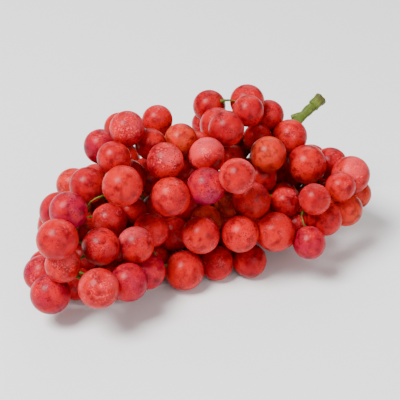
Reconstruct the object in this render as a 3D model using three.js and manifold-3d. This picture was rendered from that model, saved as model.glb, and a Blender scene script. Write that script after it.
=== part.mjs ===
// A bunch of red grapes lying on its side: berries in sprays round one branched green stem.
// Millimetres, +Z up, +X along the bunch towards its shoulders and its cut stalk. The berries that
// show from the front are laid from measured places, the rest by a seeded rule, and the stem grows
// through the free space between them.
import * as THREE from 'three';
import { mergeVertices } from 'three/addons/utils/BufferGeometryUtils.js';
import Module from 'manifold-3d';

const wasm = await Module();
wasm.setup();

// Where the showing berries were measured from: distance, height angle, angle round the bunch, aim
const EYE_AWAY = 680;
const EYE_LIFT = 34;
const EYE_TURN = -18;
const AIM_HEIGHT = 44;
const ORIGIN = [0.45, -0.63]; // middle of the finished bunch's box, in the places used below

const PRESS = 0.8; // how far two touching berries press into each other
const SIT = 0.97; // height of a resting berry's centre as a share of its radius
const GAP = 0.3; // gap kept between separate solids
const FACET = 1.035; // corner radius of a faceted berry over its true radius

// Ellipsoid through the centres of the outermost berries
const HULL_CENTRE = [-4, 4, 32];
const HULL_HALF = [104, 50, 46];
const DEEPEST = 0.3; // the deepest layer's ellipsoid as a share of it
const PER_LAYER = 0.115; // and what each layer nearer the eye adds
const BACK_SHARE = 0.4; // how much of a push the berry behind takes
const DEPTH_ROUNDS = 160;
const HOMING_ROUNDS = 110; // rounds in which each berry is also drawn to its place on the ellipsoid
const HOMING = 0.06;
const FALL = 0.03; // furthest a berry settles along its line of sight, as a share of it
const TOUCH_SLACK = 0.0025; // a touch this little in front of a berry still counts

// Berries that show, as seen from the eye, deepest layer first: across and up from the aim, radius
const LAYERS = [
  [
    [-99.5, -43, 11.3], [-93, -15.5, 11.6], [-67, 13, 10.6], [-51.5, 46, 10.6], [-34, 17.5, 10.6],
    [-53, -53, 11.6], [-80, -53, 11.6], [-73.5, -18.5, 11.6], [-75, -36, 9.8], [-44.5, -7.5, 10.3],
    [4, 49, 9.4], [30.5, 63.5, 11.2], [44, 54.5, 10.2], [37, 40, 9.4], [71.5, 25, 11],
    [53.5, 1.5, 10.3], [52, -20.5, 11.3], [71.5, -11.5, 9], [20, 26, 10.3], [4, -13.5, 10.3],
    [-17, -22, 11], [-29, 11.5, 9.7], [-9, 19.5, 9], [18, -2, 9], [-66.5, -3, 9], [100.5, 4, 10],
  ],
  [[6, 60.5, 10.6], [-27.5, 51.5, 10], [-34, -46, 11.9], [84, 23.5, 10.8]],
  [
    [-101.5, -47.5, 12.3], [-91, -7.5, 12.8], [-81.5, 9.5, 11.3], [-64, 34.5, 11.3],
    [-12.5, 39, 10.6], [11, 48.5, 11.3], [-2, 33, 11.3], [-47.5, 14, 12.7], [58, 41, 11.3],
    [97, 16, 12.6], [94, -6, 11], [38.5, 15, 11.5], [32, -39, 11], [10.5, -40.5, 11.3],
    [-31.5, -19.5, 11.6], [-58.5, -13, 11.4], [-46, -53, 12.6], [-32, 36, 10.3],
  ],
  [[-47, 46, 11.6]],
  [
    [-96.5, -60.5, 13.2], [-85, -7, 12.6], [-72.5, 9.5, 11.9], [-55.5, 27, 11], [-22.5, 25, 12.1],
    [4, 9, 12.3], [-19, 2, 13], [17, 46, 11.8], [4.5, 28.5, 12.1], [31, 57.5, 10.3],
    [44, 29.5, 11.9], [80.5, -12, 11.3], [55, -1.5, 9.8], [33, -0.5, 12.6],
    [-65.5, -57, 13.4], [-10, -45.5, 12.8], [-41.5, -29, 12.1],
  ],
  [[-88.5, -42, 11.8]],
  [
    [-92, -25.5, 13.9], [-50, 9, 13.5], [-64, -30, 12.3], [69, 23, 12.8], [90.5, 8.5, 9.9],
    [74, 0.5, 10.3], [70.5, -27.5, 10.8], [48.5, -20.5, 13.1], [26, -22, 12.1],
    [24, 15.5, 12], [0.5, -22.5, 12.4],
  ],
];

// Line of the main stem inside the bunch, tip to shoulder, and its bare stalk outside
const RACHIS = [[-92, -24, 32], [-48, -10, 42], [0, 4, 46], [44, 4, 44], [68, 30, 52], [84, 41, 66]];
const CHANNEL = 3.4; // clear radius kept round it

// Berries of the back, the underside and the inside, laid by a seeded rule
const REST_COUNT = 52;
const REST_SEED = 24;
const REST_RADIUS = [10.5, 12.3];
const REST_SPAN = [-96, 92];
const REST_TURN = [-180, 90]; // degrees round the hull, 0 at the back, -90 underneath
const REST_OUT = [0.5, 1]; // how far out they start, as a share of the hull
const REST_PULL = 0.008;
const REST_SINK = 0.1;
const REST_ROUNDS = 300;
const CROWDING = 0.75; // share of the rounds in which they are still drawn inwards
const CHANNEL_PUSH = 0.6;
const RIM_STEPS = 24;
const RIM_MARGIN = 0.5;
const MOST_SHOWING = 0.2; // share of its rim that a hidden berry may show
const MOST_PRESSED = 2.2;
const LEAST_TOUCH = 0.5 * PRESS;

// Berries that only darken a gap between the others: across, up and radius as seen from the eye
const DEEP = [[-36, -1, 10.5], [62.5, -16, 8.5]];
const DEEP_WAYS = { from: 0.96, to: 1.1, step: 0.001 };

const HOLD_VOLUME = 0.2; // least shared volume that counts as holding together, mm3
const SPRAY_COUNT = 14;

// The stem finds its ways on a grid of cells in the free space near the skins
const CELL = 1.6;
const REACH = 4; // how far from the skins the grid reaches
const MARGIN = 18; // how far it goes past the outermost berry centres
const MIN_ROOM = 0.3;
const MAIN_COMFORT = 3; // room that the main stem looks for
const SIDE_COMFORT = 1.9; // and its branches
const CROWDED = 3; // how much dearer a way gets with less room
const SHOWING = 3; // and where it would show
const COVER = 1; // a cell is hidden this far inside the outline of a nearer berry
const SEARCH = 6; // how far from a wanted place a free cell is looked for
const END_ROOM = [1, 2.6]; // a pedicel leaves the grid this far from its berry
// Bare stalk outside the bunch, shoulder to cut end
const STALK = [[76, 36, 61], [84, 41, 66], [92, 44, 70.5], [102, 46.5, 76.5]];

// Stretches of stem that show, as seen from the eye: across, up and toward the eye from the aim
const SEEN_STEMS = [
  [[-61, 3.2, 21], [-64, 2.2, 26], [-67.5, 1, 27.3], [-70.5, -1, 26.8], [-72, -4, 18.6],
    [-71.4, -7.5, 9]],
  [[24, 63.6, -7], [21.5, 64, -8.5], [19, 64.4, -11.5], [17, 64.5, -15.5], [15, 64.2, -19.5]],
  [[66.2, -6.5, 0], [66, -8, 3.5], [65.5, -10.5, 6.5], [66, -14, 7.5], [67.2, -16.5, 8.6],
    [68.8, -18.8, 6.6]],
];
// Swollen cut end of the stalk, and the stub of a side stalk near the berries: line and radius
const CUT_END = { line: [[96.5, 45.2, 73.2], [99, 45.7, 74.7], [103, 46.8, 77.2]], radius: 3.6 };
const STUB = { line: [[89, 42.5, 68.8], [85, 43.4, 68.3], [80.8, 44, 66.8]], radius: 1.9 };

const PEDICEL_RADIUS = 0.7;
const STALK_RADIUS = 2.6;
const THICKENING = 0.38; // the radius grows with the number of berries carried to this power
const RADIUS_STEP = 0.5; // a run of the stem ends where it is thinner than this share of its start
const THIN = 1.1; // tubes thinner than this have the fewest sides
const THIN_SIDES = 3;
const STOUT_SIDES = 5;
const SLACK = 0.8; // how far a tube may stray from its line
const SMOOTHING_ROUNDS = 60;
const LINE_EASE = 0.5; // how far a point of a line moves to the middle of its neighbours
const FORK_EASE = 0.15; // and a fork
const PUSH_OFF = 0.9; // share of the missing room that a point moves off a skin

const SKIN = { roughness: 0.34, metalness: 0 };
const SPRAY_COLOURS = [0xa83a44, 0xb5484a, 0x9c3446, 0xad4450];
const BARK = { roughness: 0.7, metalness: 0 };
const STEM_COLOUR = 0x7c8a3a;

const radians = THREE.MathUtils.degToRad;
const vector = (list) => new THREE.Vector3(...list);

function eyeFrame() {
  const lift = radians(EYE_LIFT);
  const turn = radians(EYE_TURN);
  const back = new THREE.Vector3(
    Math.sin(turn) * Math.cos(lift), -Math.cos(turn) * Math.cos(lift), Math.sin(lift));
  const right = new THREE.Vector3(Math.cos(turn), Math.sin(turn), 0);
  const up = new THREE.Vector3().crossVectors(back, right);
  const eye = new THREE.Vector3(0, 0, AIM_HEIGHT).addScaledVector(back, EYE_AWAY);
  return { back, right, up, eye };
}

const FRAME = eyeFrame();

// A line of sight reaches the plane of the aim at way = 1
function sightLine(across, up) {
  return new THREE.Vector3().addScaledVector(FRAME.right, across)
    .addScaledVector(FRAME.up, up).addScaledVector(FRAME.back, -EYE_AWAY);
}

// Smaller root of a.t^2 + 2b.t + c, or the closest approach where there is none
function firstMeeting(a, b, c) {
  const disc = b * b - a * c;
  return disc > 0 ? (-b - Math.sqrt(disc)) / a : -b / a;
}

// Each showing berry: its line of sight, radius on the aim plane, layer, and the way to the table
function measuredBerries() {
  return LAYERS.flatMap((rows, layer) => rows.map(([across, up, radius]) => {
    const line = sightLine(across, up);
    const rest = FRAME.eye.z / (radius * SIT - line.z);
    const half = vector(HULL_HALF).multiplyScalar(DEEPEST + PER_LAYER * layer);
    const from = FRAME.eye.clone().sub(vector(HULL_CENTRE)).divide(half);
    const way = line.clone().divide(half);
    const hull = firstMeeting(way.dot(way), from.dot(way), from.dot(from) - 1);
    return { across, up, radius, layer, line, rest, home: Math.min(rest, hull) };
  }));
}

// Pairs that overlap as seen from the eye: which is in front, and how far apart along the sight
function overlappingPairs(berries) {
  const pairs = [];
  for (let j = 0; j < berries.length; j += 1) {
    for (let i = 0; i < j; i += 1) {
      const [near, far] = [berries[j], berries[i]];
      const reach = near.radius + far.radius - PRESS;
      const side = Math.hypot(near.across - far.across, near.up - far.up);
      if (side >= reach) continue;
      const swap = near.layer === far.layer && far.home < near.home;
      const need = Math.sqrt(reach * reach - side * side) / EYE_AWAY;
      pairs.push(swap ? [i, j, need] : [j, i, need]);
    }
  }
  return pairs;
}

// Slide the berries along their lines of sight until the ones in front clear the ones behind
function layInDepth(berries) {
  const pairs = overlappingPairs(berries);
  const way = berries.map((berry) => berry.home);
  for (let round = 0; round < DEPTH_ROUNDS; round += 1) {
    if (round < HOMING_ROUNDS) {
      berries.forEach((berry, i) => {
        way[i] += (berry.home - way[i]) * HOMING;
      });
    }
    for (const [front, behind, need] of pairs) {
      const lack = need - (way[behind] - way[front]);
      if (lack <= 0) continue;
      const give = Math.min(lack * BACK_SHARE, berries[behind].rest - way[behind]);
      way[behind] += give;
      way[front] -= lack - give;
    }
  }
  return way;
}

function seededDraw(seed) {
  let state = BigInt(seed);
  return () => {
    state = (state * 1103515245n + 12345n) % 2147483648n;
    return Number(state) / 2147483648;
  };
}

function nearestOnRachis(point) {
  const line = RACHIS.map(vector);
  let best = { distance: Infinity };
  for (let i = 1; i < line.length; i += 1) {
    const near = new THREE.Line3(line[i - 1], line[i])
      .closestPointToPoint(point, true, new THREE.Vector3());
    const distance = near.distanceTo(point);
    if (distance < best.distance) best = { near, distance };
  }
  return best;
}

function seedRest() {
  const draw = seededDraw(REST_SEED);
  const between = ([low, high], share) => low + (high - low) * share;
  return Array.from({ length: REST_COUNT }, (_, k) => {
    const turn = radians(between(REST_TURN, draw()));
    const out = between(REST_OUT, draw());
    const radius = between(REST_RADIUS, draw());
    const centre = new THREE.Vector3(between(REST_SPAN, (k + 0.5) / REST_COUNT), 0, HULL_CENTRE[2]);
    centre.y = nearestOnRachis(centre).near.y + Math.cos(turn) * HULL_HALF[1] * out;
    centre.z = Math.max(radius, centre.z + Math.sin(turn) * HULL_HALF[2] * out);
    return { centre, radius };
  });
}

// Pushes on one loose berry from all that it overlaps
function pushOn(berry, fixed, loose) {
  const push = new THREE.Vector3();
  let count = 0;
  const feel = (other, share) => {
    const apart = berry.centre.clone().sub(other.centre);
    const distance = apart.length();
    const lap = berry.radius + other.radius - PRESS - distance;
    if (lap <= 0) return;
    push.addScaledVector(apart, lap * share / distance);
    count += 1;
  };
  for (const other of fixed) feel(other, 1);
  for (const other of loose.filter((one) => one !== berry)) feel(other, 0.5);
  return push.divideScalar(Math.sqrt(Math.max(count, 1)));
}

// Loose berries crowd in round the stem, sink towards the table and push each other apart
function packRest(fixed) {
  const loose = seedRest();
  for (let round = 0; round < REST_ROUNDS; round += 1) {
    const pushes = loose.map((berry) => pushOn(berry, fixed, loose));
    loose.forEach((berry, k) => {
      const { centre, radius } = berry;
      if (round < REST_ROUNDS * CROWDING) {
        centre.lerp(nearestOnRachis(centre).near, REST_PULL);
        centre.z -= REST_SINK;
      }
      centre.add(pushes[k]);
      const { near, distance } = nearestOnRachis(centre);
      const out = Math.max(CHANNEL + radius - distance, 0) * CHANNEL_PUSH;
      centre.addScaledVector(centre.clone().sub(near), out / Math.max(distance, 1e-6));
      centre.z = Math.max(centre.z, radius * SIT);
    });
  }
  return loose;
}

// Depth, and place and radius on the aim plane, as seen from the eye
function asSeen({ centre, radius }) {
  const from = centre.clone().sub(FRAME.eye);
  const depth = -from.dot(FRAME.back);
  const scale = EYE_AWAY / depth;
  return {
    depth, radius: radius * scale, across: from.dot(FRAME.right) * scale, up: from.dot(FRAME.up) * scale,
  };
}

// Share of a loose berry's rim that has none of the showing ones in front of it
function shareShowing(berry, showing) {
  const { depth, across, up, radius } = asSeen(berry);
  const nearer = showing.filter((disc) => disc.depth < depth);
  let out = 0;
  for (let k = 0; k < RIM_STEPS; k += 1) {
    const turn = 2 * Math.PI * k / RIM_STEPS;
    const x = across + radius * Math.cos(turn);
    const y = up + radius * Math.sin(turn);
    const covers = (disc) => Math.hypot(x - disc.across, y - disc.up) < disc.radius + RIM_MARGIN;
    if (!nearer.some(covers)) out += 1;
  }
  return out / RIM_STEPS;
}

const overlap = (a, b) => a.radius + b.radius - a.centre.distanceTo(b.centre);

// Leave out loose berries that would show, that are pressed too hard or that touch nothing
function keepHidden(loose, fixed) {
  const showing = fixed.map(asSeen);
  let kept = loose.filter((berry) => shareShowing(berry, showing) < MOST_SHOWING);
  for (const berry of [...kept]) {
    const others = [...fixed, ...kept].filter((other) => other !== berry);
    const worst = Math.max(...others.map((other) => overlap(berry, other)));
    if (worst > MOST_PRESSED || worst < LEAST_TOUCH) kept = kept.filter((other) => other !== berry);
  }
  return kept;
}

// Ways at which a berry on its line of sight touches another one
function touchingWays(berry, other) {
  const from = FRAME.eye.clone().sub(other.centre);
  const reach = other.radius - PRESS;
  const a = berry.line.lengthSq() - berry.radius ** 2;
  const b = from.dot(berry.line) - berry.radius * reach;
  const disc = b * b - a * (from.lengthSq() - reach * reach);
  return disc > 0 ? [(-b - Math.sqrt(disc)) / a, (-b + Math.sqrt(disc)) / a] : [];
}

const placed = (berry, way) => ({
  centre: FRAME.eye.clone().addScaledVector(berry.line, way), radius: berry.radius * way,
});

// Far ones first, each showing berry that isn't pressed hard falls back onto those behind it; one
// that then touches nothing moves to its nearest touch
function settle(berries, way, rest) {
  const all = berries.map((berry, i) => placed(berry, way[i]));
  const order = berries.map((_, i) => i).sort((a, b) => way[b] - way[a]);
  const done = [...rest];
  for (const i of order) {
    const stops = done.flatMap((other) => touchingWays(berries[i], other).slice(0, 1))
      .filter((stop) => stop > way[i] - TOUCH_SLACK);
    const stop = Math.min(...stops);
    const pressed = done.some((other) => overlap(all[i], other) > MOST_PRESSED);
    if (!pressed && stop < way[i] + FALL) {
      way[i] = Math.min(stop, berries[i].rest);
      all[i] = placed(berries[i], way[i]);
    }
    done.push(all[i]);
  }
  berries.forEach((berry, i) => {
    const others = [...all.filter((_, k) => k !== i), ...rest];
    if (others.some((other) => overlap(all[i], other) > LEAST_TOUCH)) return;
    const ways = others.flatMap((other) => touchingWays(berry, other)).filter((to) => to <= berry.rest);
    way[i] = ways.reduce((best, to) => (Math.abs(to - way[i]) < Math.abs(best - way[i]) ? to : best));
    all[i] = placed(berry, way[i]);
  });
  return all;
}

// A deep berry lies on its line of sight where the others hide it and press it as usual
function layDeep([across, up, radius], others) {
  const line = sightLine(across, up);
  const showing = others.map(asSeen);
  let best = { off: Infinity };
  for (let way = DEEP_WAYS.from; way < DEEP_WAYS.to; way += DEEP_WAYS.step) {
    const berry = placed({ line, radius }, way);
    const off = Math.abs(Math.max(...others.map((other) => overlap(berry, other))) - PRESS);
    const fits = berry.centre.z >= berry.radius && shareShowing(berry, showing) < MOST_SHOWING;
    if (fits && off < best.off) best = { berry, off };
  }
  return best.berry;
}

function layBerries() {
  const measured = measuredBerries();
  const way = layInDepth(measured);
  const fixed = measured.map((berry, i) => placed(berry, way[i]));
  const rest = keepHidden(packRest(fixed), fixed);
  const laid = [...settle(measured, way, rest), ...rest];
  return DEEP.reduce((all, place) => [...all, layDeep(place, all)], laid);
}

function solidOf(geometry) {
  const bare = geometry.clone();
  bare.deleteAttribute('normal');
  bare.deleteAttribute('uv');
  const merged = mergeVertices(bare, 1e-4);
  return new wasm.Manifold(new wasm.Mesh({
    numProp: 3,
    vertProperties: new Float32Array(merged.attributes.position.array),
    triVerts: new Uint32Array(merged.index.array),
  }));
}

function berrySolid({ centre, radius }, grow = 0) {
  const ball = new THREE.IcosahedronGeometry(radius * FACET + grow, 1);
  return solidOf(ball.translate(centre.x, centre.y, centre.z));
}

// Which berries hold to which: those whose solids share some volume
function holdingPairs(berries, solids) {
  const holds = berries.map(() => []);
  for (let j = 0; j < berries.length; j += 1) {
    for (let i = 0; i < j; i += 1) {
      if (overlap(berries[i], berries[j]) < 0) continue;
      if (solids[i].intersect(solids[j]).volume() < HOLD_VOLUME) continue;
      holds[i].push(j);
      holds[j].push(i);
    }
  }
  return holds;
}

// Seeds spread over the bunch, each the berry farthest from the seeds before it
function spreadSeeds(berries, count) {
  const along = berries.map((berry) => berry.centre.x);
  const seeds = [along.indexOf(Math.min(...along))];
  const distance = (i) => Math.min(
    ...seeds.map((seed) => berries[seed].centre.distanceTo(berries[i].centre)));
  while (seeds.length < count) {
    const reach = berries.map((_, i) => distance(i));
    seeds.push(reach.indexOf(Math.max(...reach)));
  }
  return seeds;
}

// Sprays grow from their seeds over berries that hold together, the smallest spray first
function growSprays(berries, holds) {
  const sprays = spreadSeeds(berries, SPRAY_COUNT).map((seed) => [seed]);
  const taken = new Set(sprays.flat());
  const nextFor = (spray) => spray.flatMap((i) => holds[i]).filter((i) => !taken.has(i))
    .sort((a, b) => berries[a].centre.distanceTo(berries[spray[0]].centre)
      - berries[b].centre.distanceTo(berries[spray[0]].centre))[0];
  while (taken.size < berries.length) {
    const open = sprays.filter((spray) => nextFor(spray) !== undefined);
    if (open.length === 0) {
      sprays.push([berries.findIndex((_, i) => !taken.has(i))]);
      taken.add(sprays.at(-1)[0]);
      continue;
    }
    open.sort((a, b) => a.length - b.length);
    const next = nextFor(open[0]);
    open[0].push(next);
    taken.add(next);
  }
  return sprays;
}

// Flat faces where a berry presses on one of another spray, and where it rests on the table
function trimmed(solid, berry, others) {
  let cut = solid;
  for (const other of others) {
    const toward = other.centre.clone().sub(berry.centre);
    const distance = toward.length();
    if (distance > FACET * (berry.radius + other.radius) + GAP) continue;
    toward.divideScalar(distance);
    const middle = (distance ** 2 + berry.radius ** 2 - other.radius ** 2) / (2 * distance);
    const face = toward.dot(berry.centre) + middle - GAP / 2;
    cut = cut.trimByPlane(toward.negate().toArray(), -face);
  }
  return berry.centre.z < berry.radius * FACET ? cut.trimByPlane([0, 0, 1], 0) : cut;
}

function spraySolid(spray, berries, solids) {
  const others = berries.filter((_, i) => !spray.includes(i));
  return spray.map((i) => trimmed(solids[i], berries[i], others)).reduce((all, one) => all.add(one));
}

// Free space round and between the berries, on a grid of cells: distance to the nearest skin, and
// whether a cell shows from the eye
function freeSpace(berries) {
  const box = new THREE.Box3().setFromPoints(berries.map((berry) => berry.centre));
  box.expandByScalar(MARGIN);
  const size = box.getSize(new THREE.Vector3()).divideScalar(CELL).ceil();
  const [nx, ny, nz] = size.toArray();
  const clear = new Float32Array(nx * ny * nz).fill(REACH);
  const at = (x, y, z) => x + nx * (y + ny * z);
  const centreOf = (cell) => new THREE.Vector3(
    cell % nx, Math.floor(cell / nx) % ny, Math.floor(cell / (nx * ny)))
    .addScalar(0.5).multiplyScalar(CELL).add(box.min);
  const around = ({ centre, radius }, margin) => {
    const low = centre.clone().subScalar(radius + margin).sub(box.min).divideScalar(CELL).floor();
    const high = centre.clone().addScalar(radius + margin).sub(box.min).divideScalar(CELL).ceil();
    const cells = [];
    for (let z = Math.max(low.z, 1); z < Math.min(high.z, nz - 1); z += 1) {
      for (let y = Math.max(low.y, 1); y < Math.min(high.y, ny - 1); y += 1) {
        for (let x = Math.max(low.x, 1); x < Math.min(high.x, nx - 1); x += 1) {
          cells.push(at(x, y, z));
        }
      }
    }
    return cells;
  };
  for (const berry of berries) {
    for (const cell of around(berry, REACH)) {
      const skin = centreOf(cell).distanceTo(berry.centre) - berry.radius;
      clear[cell] = Math.min(clear[cell], skin);
    }
  }
  const sides = [-1, 0, 1];
  const steps = sides.flatMap((z) => sides.flatMap((y) => sides.map((x) => (
    [at(x, y, z), CELL * Math.hypot(x, y, z)])))).filter(([step]) => step !== 0);
  const discs = berries.map(asSeen);
  const shows = clear.map((room, cell) => {
    if (room < MIN_ROOM || room >= REACH) return 0;
    const { depth, across, up } = asSeen({ centre: centreOf(cell), radius: 0 });
    const hides = (disc) => disc.depth < depth
      && (across - disc.across) ** 2 + (up - disc.up) ** 2 < (disc.radius - COVER) ** 2;
    return discs.some(hides) ? 0 : 1;
  });
  return { clear, shows, steps, around, centreOf };
}

// Shortest ways from the source cells through the free space, off the skins and out of sight
function flood(space, sources, comfort) {
  const { clear, shows, steps } = space;
  const weight = clear.map((room, cell) => {
    if (room < MIN_ROOM || room >= REACH) return Infinity;
    return 1 + CROWDED * Math.max(comfort - room, 0) ** 2 + SHOWING * shows[cell];
  });
  const cost = new Float32Array(clear.length).fill(Infinity);
  const parent = new Int32Array(clear.length).fill(-1);
  const levels = [[...sources]];
  for (const cell of sources) cost[cell] = 0;
  for (let level = 0; level < levels.length; level += 1) {
    for (const cell of levels[level] ?? []) {
      if (Math.floor(cost[cell]) !== level) continue;
      for (const [step, length] of steps) {
        const next = cell + step;
        const total = cost[cell] + length * (weight[cell] + weight[next]) / 2;
        if (!(total < cost[next])) continue;
        cost[next] = total;
        parent[next] = cell;
        (levels[Math.floor(total)] ??= []).push(next);
      }
    }
  }
  return { cost, parent };
}

// Point of space at a place seen from the eye
function seenPlace([across, up, toward]) {
  return FRAME.eye.clone().addScaledVector(sightLine(across, up), 1 - toward / EYE_AWAY);
}

// Cell near a point with room for a stem, and within reach of a flood where one is given
function nearestFree(space, point, flooded) {
  const { clear, around, centreOf } = space;
  const open = (cell) => clear[cell] >= MIN_ROOM && clear[cell] < REACH;
  const reached = (cell) => !flooded || flooded.cost[cell] < Infinity;
  const found = around({ centre: point, radius: SEARCH }, SEARCH)
    .filter((cell) => open(cell) && reached(cell))
    .reduce((best, cell) => {
      const far = centreOf(cell).distanceTo(point) + 2 * Math.max(SIDE_COMFORT - clear[cell], 0);
      return far < best.far ? { cell, far } : best;
    }, { cell: -1, far: Infinity });
  return found.cell;
}

// Cells from a flood's source to the given cell
function trace(flooded, cell) {
  const cells = [cell];
  while (flooded.parent[cells[0]] >= 0) cells.unshift(flooded.parent[cells[0]]);
  return cells;
}

// A tree of points that grows by places or by cells of the space, each cell used once
function newTree(space) {
  const points = [];
  const pointOf = new Map();
  const add = (position, parent, { owner = -1, held = false } = {}) => {
    points.push({ position, parent, owner, held, load: 0 });
    return points.length - 1;
  };
  const addHeld = (places, from) => places.reduce(
    (parent, place) => add(place, parent, { held: true }), from);
  const addCells = (cells, from) => cells.reduce((parent, cell) => {
    if (!pointOf.has(cell)) pointOf.set(cell, add(space.centreOf(cell), parent));
    return pointOf.get(cell);
  }, from);
  return { points, pointOf, add, addHeld, addCells };
}

// Cheapest cell beside a berry for its pedicel to leave the grid
function pedicelCell(space, side, berry) {
  const [low, high] = END_ROOM;
  const found = space.around(berry, high).reduce((best, cell) => {
    const away = space.centreOf(cell).distanceTo(berry.centre) - berry.radius;
    const price = side.cost[cell] + CROWDED * Math.max(SIDE_COMFORT - space.clear[cell], 0) ** 2;
    return away > low && away < high && price < best.price ? { cell, price } : best;
  }, { price: Infinity });
  return found.cell;
}

// A showing stretch of stem grows off the side ways, and carries the berry that it ends at, if any
function growSeenStem(tree, space, side, stretch, berries) {
  const places = stretch.map(seenPlace);
  const joined = tree.addCells(trace(side, nearestFree(space, places[0], side)), -1);
  const owner = berries.findIndex((berry) => (
    places.at(-1).distanceTo(berry.centre) < berry.radius * FACET + 2 * GAP));
  const last = tree.addHeld(places, joined);
  tree.points[last].owner = owner < 0 ? berries.length : owner;
  return owner;
}

// The stem as a tree of points: each has a parent, and each berry's last point lies on its skin
function growStem(berries) {
  const space = freeSpace(berries);
  const tree = newTree(space);
  const main = flood(space, [nearestFree(space, vector(RACHIS.at(-2)))], MAIN_COMFORT);
  const outside = tree.addHeld(STALK.map(vector).reverse(), -1);
  tree.addCells(trace(main, nearestFree(space, vector(RACHIS[0]), main)), outside);
  const side = flood(space, [...tree.pointOf.keys()], SIDE_COMFORT);
  const served = SEEN_STEMS.map((stretch) => growSeenStem(tree, space, side, stretch, berries));
  berries.forEach((berry, owner) => {
    if (served.includes(owner)) return;
    const cell = pedicelCell(space, side, berry);
    const last = tree.addCells(trace(side, cell), -1);
    const toward = space.centreOf(cell).sub(berry.centre).normalize();
    const end = berry.centre.clone().addScaledVector(toward, berry.radius * FACET + GAP);
    tree.add(end, last, { owner });
  });
  return tree.points;
}

// Number of berries that each point of the stem carries
function loadStem(points) {
  for (const point of points) {
    if (point.owner < 0) continue;
    for (let at = point; at; at = points[at.parent]) at.load += 1;
  }
}

const stemRadius = (load) => Math.min(PEDICEL_RADIUS * load ** THICKENING, STALK_RADIUS);

// Even out the stem's line while every point keeps off the skins of the berries it passes
function smoothStem(points, berries) {
  const links = points.map(() => []);
  points.forEach(({ parent }, i) => {
    if (parent < 0) return;
    links[i].push(parent);
    links[parent].push(i);
  });
  const near = points.map(({ position, owner }) => berries.filter((berry, k) => (
    k !== owner && berry.centre.distanceTo(position) < berry.radius + 3 * REACH)));
  const fixed = points.map(({ owner, held }) => held || owner >= 0);
  for (let round = 0; round < SMOOTHING_ROUNDS; round += 1) {
    points.forEach(({ position, load }, i) => {
      if (fixed[i]) return;
      const middle = new THREE.Vector3();
      for (const link of links[i]) middle.addScaledVector(points[link].position, 1 / links[i].length);
      position.lerp(middle, links[i].length === 2 ? LINE_EASE : FORK_EASE);
      const room = stemRadius(load) + 2 * GAP;
      for (const berry of near[i]) {
        const away = position.clone().sub(berry.centre);
        const distance = away.length();
        const lack = berry.radius + room - distance;
        if (lack > 0) position.addScaledVector(away, lack * PUSH_OFF / distance);
      }
    });
  }
}

// The tree as lines: at each fork the most laden branch goes on, and the others start there
function stemLines(points) {
  const children = points.map(() => []);
  points.forEach(({ parent }, i) => {
    if (parent >= 0) children[parent].push(i);
  });
  const laden = (i) => i !== undefined && points[i].load > 0;
  const lines = [];
  const follow = (start, first) => {
    const line = start < 0 ? [] : [points[start]];
    let at = first;
    while (at !== undefined) {
      line.push(points[at]);
      const [heir, ...others] = children[at].sort((a, b) => points[b].load - points[a].load);
      const fork = at;
      others.filter(laden).forEach((other) => lines.push([fork, other]));
      at = laden(heir) ? heir : undefined;
    }
    return line;
  };
  const done = [follow(-1, 0)];
  while (lines.length > 0) done.push(follow(...lines.shift()));
  return done;
}

// One line cut where its radius changes by a step; each thinner run starts inside the thicker one
function lineRuns(line) {
  const radii = line.map((point) => stemRadius(Math.max(point.load, 1)));
  const runs = [];
  let start = 0;
  for (let i = 1; i <= line.length; i += 1) {
    const radius = radii[Math.min(start + 1, line.length - 1)];
    if (i < line.length && radii[i] > radius * RADIUS_STEP) continue;
    const part = line.slice(Math.max(start - 1, 0), i + 1).map((point) => point.position);
    if (part.length > 1) runs.push({ part, radius });
    start = i;
  }
  return runs;
}

function regularSection(radius, sides) {
  const corners = Array.from({ length: sides }, (_, k) => new THREE.Vector2(
    radius * Math.cos(2 * Math.PI * k / sides), radius * Math.sin(2 * Math.PI * k / sides)));
  return new THREE.Shape(corners);
}

// A path through the given places themselves, so that a tube has its corners there
class PathThrough extends THREE.Curve {
  constructor(places) {
    super();
    this.places = places;
  }

  getPoint(share, target = new THREE.Vector3()) {
    const at = share * (this.places.length - 1);
    const from = Math.min(Math.max(Math.floor(at), 0), this.places.length - 2);
    return target.lerpVectors(this.places[from], this.places[from + 1], at - from);
  }

  getPointAt(share, target) {
    return this.getPoint(share, target);
  }

  getTangentAt(share, target) {
    return this.getTangent(share, target);
  }
}

// Leave out places that lie within the slack of the chord past them
function thinned(places, slack) {
  const [first, last] = [places[0], places.at(-1)];
  const chord = new THREE.Line3(first, last);
  let [far, split] = [slack, -1];
  for (let i = 1; i < places.length - 1; i += 1) {
    const beside = chord.closestPointToPoint(places[i], true, new THREE.Vector3());
    const away = beside.distanceTo(places[i]);
    if (away > far) [far, split] = [away, i];
  }
  if (split < 0) return [first, last];
  const before = thinned(places.slice(0, split + 1), slack);
  return [...before.slice(0, -1), ...thinned(places.slice(split), slack)];
}

function tube(places, radius) {
  const kept = thinned(places, SLACK);
  const section = regularSection(radius, radius < THIN ? THIN_SIDES : STOUT_SIDES);
  return solidOf(new THREE.ExtrudeGeometry(section, {
    steps: kept.length - 1, bevelEnabled: false, extrudePath: new PathThrough(kept),
  }));
}

// All tubes joined, clear of the berries, as the one body that holds together
function stemSolid(berries) {
  const points = growStem(berries);
  loadStem(points);
  smoothStem(points, berries);
  const tubes = stemLines(points).flatMap(lineRuns).map(({ part, radius }) => tube(part, radius));
  for (const { line, radius } of [CUT_END, STUB]) tubes.push(tube(line.map(vector), radius));
  const whole = tubes.reduce((all, one) => all.add(one));
  const cut = berries.reduce((rest, berry) => rest.subtract(berrySolid(berry, GAP)), whole);
  const bodies = cut.decompose().sort((a, b) => b.volume() - a.volume());
  return bodies[0];
}

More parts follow.
